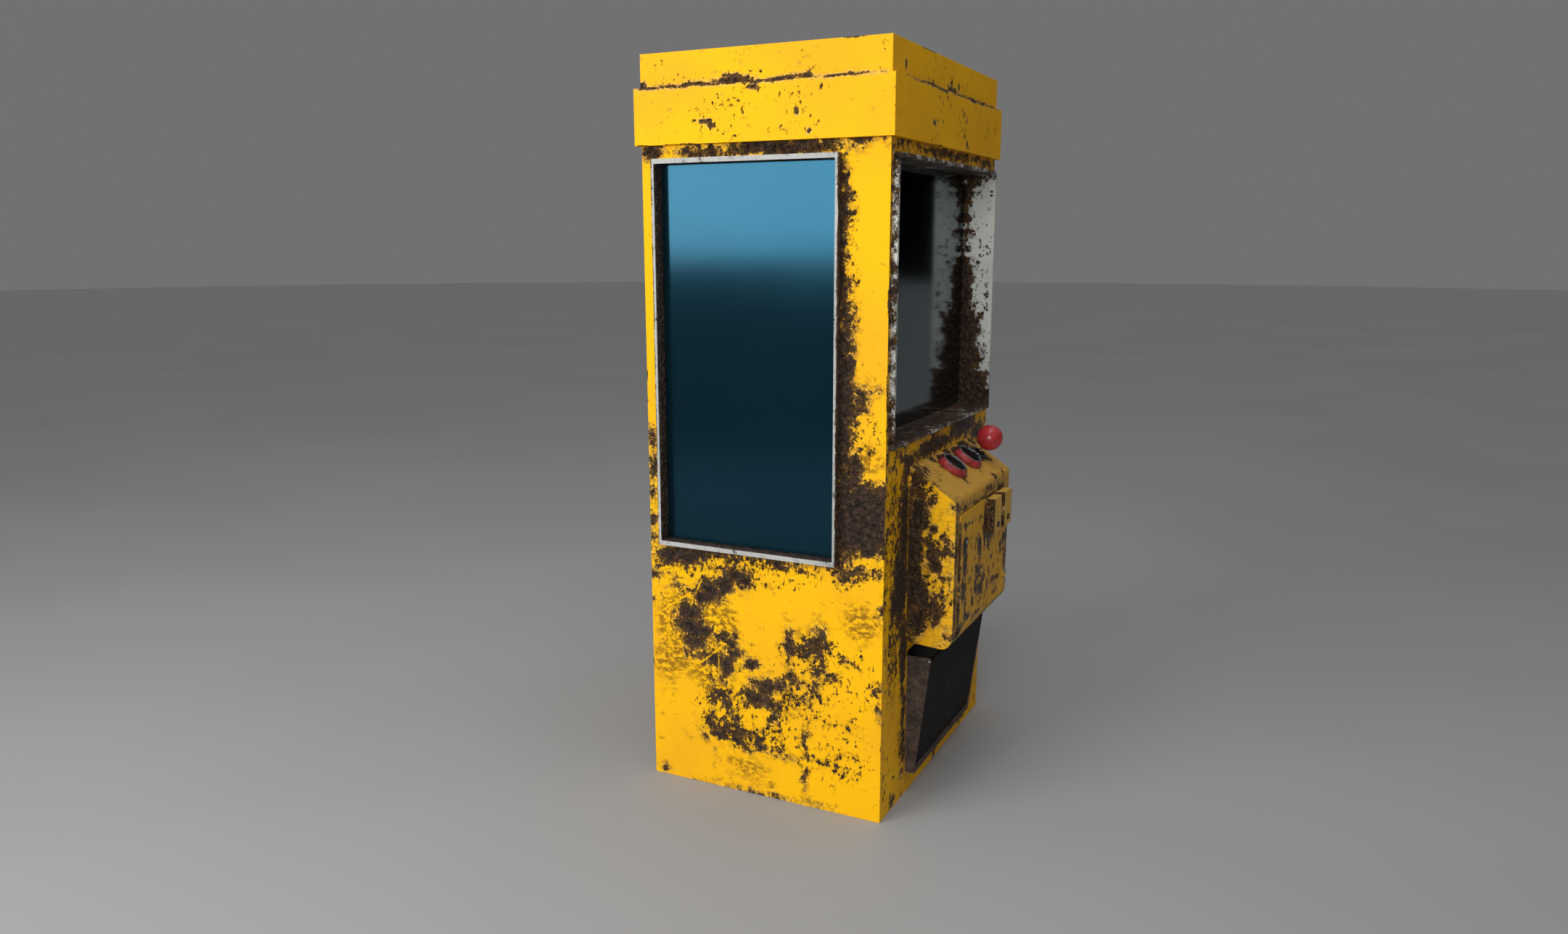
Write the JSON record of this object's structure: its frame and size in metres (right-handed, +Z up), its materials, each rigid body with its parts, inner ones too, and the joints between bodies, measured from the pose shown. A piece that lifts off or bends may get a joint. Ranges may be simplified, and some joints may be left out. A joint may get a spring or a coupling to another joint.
{
  "type": "claw crane prize machine",
  "caption": "Full-size coin-operated claw crane cabinet with deep windows, sloped control box with joystick and push buttons, coin door, prize flap and a working crane inside.",
  "frame": {"origin": "centre of the cabinet's footprint on the floor, at the underside of the base plate", "axes": "+X to the right of a player facing the machine, +Y to its back, +Z up"},
  "size_m": [0.882, 0.8298, 1.9],
  "materials": {
    "yellow_paint": "worn gloss paint over steel, chipped to rust",
    "coin_entry_paint": "worn paint, rusty edges",
    "frame_paint": "pale grey paint, rusted",
    "tinted_glass": "reflective tinted glass",
    "rubber_bead": "matt",
    "steel": "dull zinc-plated steel",
    "lock_chrome": "pitted chrome",
    "button_red": "scuffed gloss",
    "button_chrome": "bright",
    "button_black": "gloss",
    "ball_red": "scuffed gloss",
    "rusty_steel": "brown rusted steel",
    "flap_black": "satin black",
    "grey_sheet": "satin",
    "clear_plastic": "clear acrylic",
    "claw_metal": "satin",
    "claw_chrome": "bright",
    "circuit_green": "satin",
    "case_grey": "satin"
  },
  "bodies": {
    "cabinet": {"base_plate": "steel", "left_side_panel": "yellow_paint", "right_side_panel": "yellow_paint", "front_panel": "yellow_paint", "back_panel": "yellow_paint", "cap_lower": "yellow_paint", "cap_upper": "yellow_paint", "left_window_frame": "frame_paint", "right_window_frame": "frame_paint", "front_window_frame": "frame_paint", "left_glass": "tinted_glass", "right_glass": "tinted_glass", "front_glass": "tinted_glass", "glazing_beads": "rubber_bead", "service_hinges": "steel", "control_box": "yellow_paint", "coin_hinge": "steel", "cash_box": "steel", "button_bezel_1": "button_red", "button_bezel_2": "button_red", "button_ring_1": "button_chrome", "button_ring_2": "button_chrome", "button_nuts": "steel", "joystick_collar": "button_black", "joystick_base": "steel", "hopper": "rusty_steel", "flap_pin": "lock_chrome", "prize_chute": "grey_sheet", "playfield": "grey_sheet", "chute_guard": "clear_plastic", "gantry_rails": "steel", "control_board": "circuit_green", "power_supply": "case_grey", "power_inlet": "case_grey"},
    "service_door": {"service_door": "yellow_paint", "service_lock": "lock_chrome"},
    "service_cam": {"service_cam": "lock_chrome"},
    "coin_door": {"coin_door": "yellow_paint", "coin_lock": "lock_chrome", "coin_bezel_1": "coin_entry_paint", "coin_bezel_2": "coin_entry_paint", "coin_mech_1": "steel", "coin_mech_2": "steel"},
    "coin_cam": {"coin_cam": "lock_chrome"},
    "coin_return_1": {"coin_return_1": "lock_chrome"},
    "coin_return_2": {"coin_return_2": "lock_chrome"},
    "button_1": {"button_plunger_1": "button_black"},
    "button_2": {"button_plunger_2": "button_black"},
    "joystick_yoke": {"joystick_yoke": "steel"},
    "joystick": {"joystick_shaft": "button_chrome", "joystick_ball": "ball_red"},
    "prize_flap": {"prize_flap": "flap_black"},
    "bridge": {"bridge": "steel"},
    "trolley": {"trolley": "steel", "hoist_outer": "steel"},
    "hoist_mid": {"hoist_mid": "button_chrome"},
    "claw": {"claw_head": "claw_metal"},
    "finger_1": {"claw_finger_1": "claw_chrome"},
    "finger_2": {"claw_finger_2": "claw_chrome"},
    "finger_3": {"claw_finger_3": "claw_chrome"}
  },
  "joints": [
    {"name": "service_door_swing", "type": "hinge", "parent": "cabinet", "child": "service_door", "pos_m": [0.313, 0.339, 0.85], "axis": [0, 0, -1], "range_deg": [0, 110]},
    {"name": "service_cam_turn", "type": "hinge", "parent": "service_door", "child": "service_cam", "pos_m": [-0.28, 0.336, 0.85], "axis": [0, 1, 0], "range_deg": [0, 90]},
    {"name": "coin_door_swing", "type": "hinge", "parent": "cabinet", "child": "coin_door", "pos_m": [0.218, -0.462, 0.6125], "axis": [0, 0, 1], "range_deg": [0, 105]},
    {"name": "coin_cam_turn", "type": "hinge", "parent": "coin_door", "child": "coin_cam", "pos_m": [-0.165, -0.459, 0.69], "axis": [0, 1, 0], "range_deg": [0, 90]},
    {"name": "coin_return_1_press", "type": "slide", "parent": "coin_door", "child": "coin_return_1", "axis": [0, 1, 0], "range_m": [0, 0.004], "stiffness_N_per_m": 400, "springref_m": -0.004},
    {"name": "coin_return_2_press", "type": "slide", "parent": "coin_door", "child": "coin_return_2", "axis": [0, 1, 0], "range_m": [0, 0.004], "stiffness_N_per_m": 400, "springref_m": -0.004},
    {"name": "button_1_press", "type": "slide", "parent": "cabinet", "child": "button_1", "axis": [0, 0.5577, -0.83], "range_m": [0, 0.006], "stiffness_N_per_m": 600, "springref_m": -0.007},
    {"name": "button_2_press", "type": "slide", "parent": "cabinet", "child": "button_2", "axis": [0, 0.5577, -0.83], "range_m": [0, 0.006], "stiffness_N_per_m": 600, "springref_m": -0.007},
    {"name": "joystick_front_back", "type": "hinge", "parent": "cabinet", "child": "joystick_yoke", "pos_m": [0.185, -0.36718, 0.8353], "axis": [1, 0, 0], "range_deg": [-11, 11], "stiffness_Nm_per_rad": 2, "springref_deg": -3.04},
    {"name": "joystick_left_right", "type": "hinge", "parent": "joystick_yoke", "child": "joystick", "pos_m": [0.185, -0.36718, 0.8353], "axis": [0, 0.83, 0.5577], "range_deg": [-11, 11], "stiffness_Nm_per_rad": 2},
    {"name": "prize_flap_swing", "type": "hinge", "parent": "cabinet", "child": "prize_flap", "pos_m": [0, -0.3945, 0.38], "axis": [1, 0, 0], "range_deg": [0, 55]},
    {"name": "bridge_travel", "type": "slide", "parent": "cabinet", "child": "bridge", "axis": [0, 1, 0], "range_m": [0, 0.34]},
    {"name": "trolley_travel", "type": "slide", "parent": "bridge", "child": "trolley", "axis": [1, 0, 0], "range_m": [-0.15, 0.39]},
    {"name": "hoist_drop", "type": "slide", "parent": "trolley", "child": "hoist_mid", "axis": [0, 0, -1], "range_m": [0, 0.23]},
    {"name": "claw_drop", "type": "slide", "parent": "hoist_mid", "child": "claw", "axis": [0, 0, -1], "range_m": [0, 0.23]},
    {"name": "finger_1_close", "type": "hinge", "parent": "claw", "child": "finger_1", "pos_m": [-0.136, -0.1, 1.354], "axis": [-1, 0, 0], "range_deg": [0, 27], "stiffness_Nm_per_rad": 0.6, "springref_deg": -17.19},
    {"name": "finger_2_close", "type": "hinge", "parent": "claw", "child": "finger_2", "pos_m": [-0.17064, -0.16, 1.354], "axis": [0.5, -0.866, 0], "range_deg": [0, 27], "stiffness_Nm_per_rad": 0.6, "springref_deg": -17.19},
    {"name": "finger_3_close", "type": "hinge", "parent": "claw", "child": "finger_3", "pos_m": [-0.10136, -0.16, 1.354], "axis": [0.5, 0.866, 0], "range_deg": [0, 27], "stiffness_Nm_per_rad": 0.6, "springref_deg": -17.19}
  ],
  "couplings": [
    {"joint": "claw_drop", "follows": "hoist_drop", "ratio": 1},
    {"joint": "finger_2_close", "follows": "finger_1_close", "ratio": 1},
    {"joint": "finger_3_close", "follows": "finger_1_close", "ratio": 1}
  ]
}
